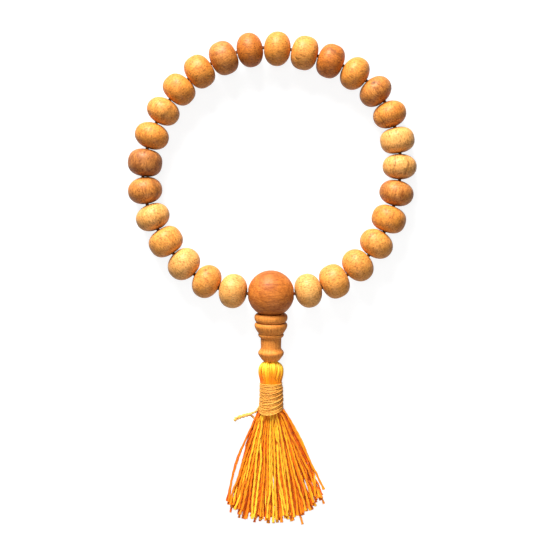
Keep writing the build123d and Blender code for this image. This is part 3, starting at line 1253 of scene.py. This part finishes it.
    def tail(self, heap: MeshHeap) -> None:
        """Adds the loose end: two strands that leave the binding and twist into one."""
        floor = 0.5 - self.neck.z
        upper = [(-2.35, 0.9, 9.9), (-2.85, 0.5, 10.6), (-3.45, 0.1, 11.5), (-4.3, -0.5, 12.0)]
        lower = [(-2.7, -0.4, 14.3), (-3.3, -0.7, 13.9), (-3.9, -1.0, 13.4), (-4.5, -1.0, 12.8)]
        shared = [(-5.2, -1.0, 12.4), (-6.1, -1.4, 12.65), (-7.2, -1.8, 13.0), (-8.7, floor, 13.7)]
        paths, stations = [], 150
        t = np.linspace(0, 1, stations)
        for number, first in enumerate((upper, lower)):
            path = smooth_path(first + shared, stations)
            wrap = np.clip((t - 0.42) / 0.1, 0, 1) * 0.22
            turn = 2 * math.pi * 4.2 * t + number * math.pi
            paths.append(path + np.stack([0 * t, wrap * np.cos(turn), wrap * np.sin(turn)], -1))
        radius = 0.29 + 0.10 * np.exp(-(((1 - t) / 0.05) ** 2))
        radii = np.repeat(radius[None], len(paths), 0)
        Strand(2, 0.9, 0.3, 10).sweep(heap, self.placed(np.array(paths)), radii, np.array([0.85, 0.95]))
        # The loose end gets no painted crevice shade.
        heap.values["crevice_shade"] = [np.zeros(heap.count)]

    def build(self) -> list[bpy.types.Object]:
        """Builds the whole tassel."""
        return [*self.skirt(), self.head(), self.binding()]


# ---------------------------------------------------------------------- studio


@dataclass
class Studio:
    """A pale floor, soft light from above and a camera that looks straight down."""

    view_width: float = 130.2
    aim: tuple[float, float] = (0.95, -24.6)
    lights_aim: tuple[float, float, float] = (0, -0.02, 0)
    lens: float = 110.0
    sensor: float = 36.0
    subject_height: float = 4.0
    floor_half: float = 3.0
    floor_glow: float = 0.88
    room_light: float = 0.10
    backdrop: float = 0.95

    def camera(self) -> bpy.types.Object:
        """Puts the camera above the middle of the picture."""
        data = bpy.data.cameras.new("camera")
        data.lens, data.sensor_width = self.lens, self.sensor
        data.clip_start, data.clip_end = 0.01, 10
        away = self.view_width * self.lens / self.sensor + self.subject_height
        made = bpy.data.objects.new("camera", data)
        made.location = (self.aim[0] * MM, self.aim[1] * MM, away * MM)
        bpy.context.scene.collection.objects.link(made)
        bpy.context.scene.camera = made
        return made

    def floor(self) -> bpy.types.Object:
        """Lays the floor."""
        side = self.floor_half
        mesh = bpy.data.meshes.new("floor")
        corners = [(-side, -side, 0), (side, -side, 0), (side, side, 0), (-side, side, 0)]
        mesh.from_pydata(corners, [], [(0, 1, 2, 3)])
        bench = Bench("floor")
        grey, glow = (0.2, 0.2, 0.2, 1), (1, 1, 1, 1)
        glowing = {"emission_color": glow, "emission_strength": self.floor_glow}
        mesh.materials.append(bench.finish(base_color=grey, roughness=0.9, **glowing))
        made = bpy.data.objects.new("floor", mesh)
        made.visible_diffuse = False
        bpy.context.scene.collection.objects.link(made)
        return made

    def softbox(self, name: str, place: Sequence[float], size: float, power: float) -> bpy.types.Object:
        """Hangs a square soft light that faces the loop."""
        data = bpy.data.lights.new(name, "AREA")
        data.shape, data.size, data.energy = "SQUARE", size, power
        made = bpy.data.objects.new(name, data)
        made.location = place
        aim = Vector(self.lights_aim) - Vector(place)
        made.rotation_euler = aim.to_track_quat("-Z", "Y").to_euler()
        bpy.context.scene.collection.objects.link(made)
        return made

    def world(self) -> None:
        """Fills the room with even white light, and shows it as a white backdrop."""
        world = bpy.data.worlds.new("room")
        world.use_nodes = True
        tree = world.node_tree
        background = tree.nodes["Background"]
        background.inputs["Color"].default_value = (1.0, 1.0, 1.0, 1.0)
        path = tree.nodes.new("ShaderNodeLightPath")
        span = tree.nodes.new("ShaderNodeMapRange")
        span.inputs["To Min"].default_value = self.room_light
        span.inputs["To Max"].default_value = self.backdrop
        tree.links.new(path.outputs["Is Camera Ray"], span.inputs["Value"])
        tree.links.new(span.outputs["Result"], background.inputs["Strength"])
        bpy.context.scene.world = world

    def build(self) -> None:
        """Sets the whole studio."""
        self.camera()
        self.floor()
        self.softbox("key_softbox", (-0.17, 0.60, 0.38), 0.34, 15.0)
        self.softbox("fill_softbox", (0.02, -0.13, 0.09), 0.10, 0.07)
        self.softbox("overhead_softbox", (-0.06, 0.10, 0.62), 0.24, 0.5)
        self.world()
        bpy.context.scene.view_settings.view_transform = "Standard"


def main() -> None:
    """Builds the studio and the mala, reporting each piece."""
    logging.basicConfig(level=logging.INFO, format="%(name)s: %(message)s")
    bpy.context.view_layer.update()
    Studio().build()
    beads = [Bead(number) for number in range(1, 28)]
    made = [bead.build() for bead in beads]
    made += [GuruBead().build(), Stem().build()]
    made += LoopCord().build(beads)
    made += Tassel().build()
    for piece in made:
        log.info("%s has %d faces", piece.name, len(piece.data.polygons))


if __name__ == "__main__":
    main()
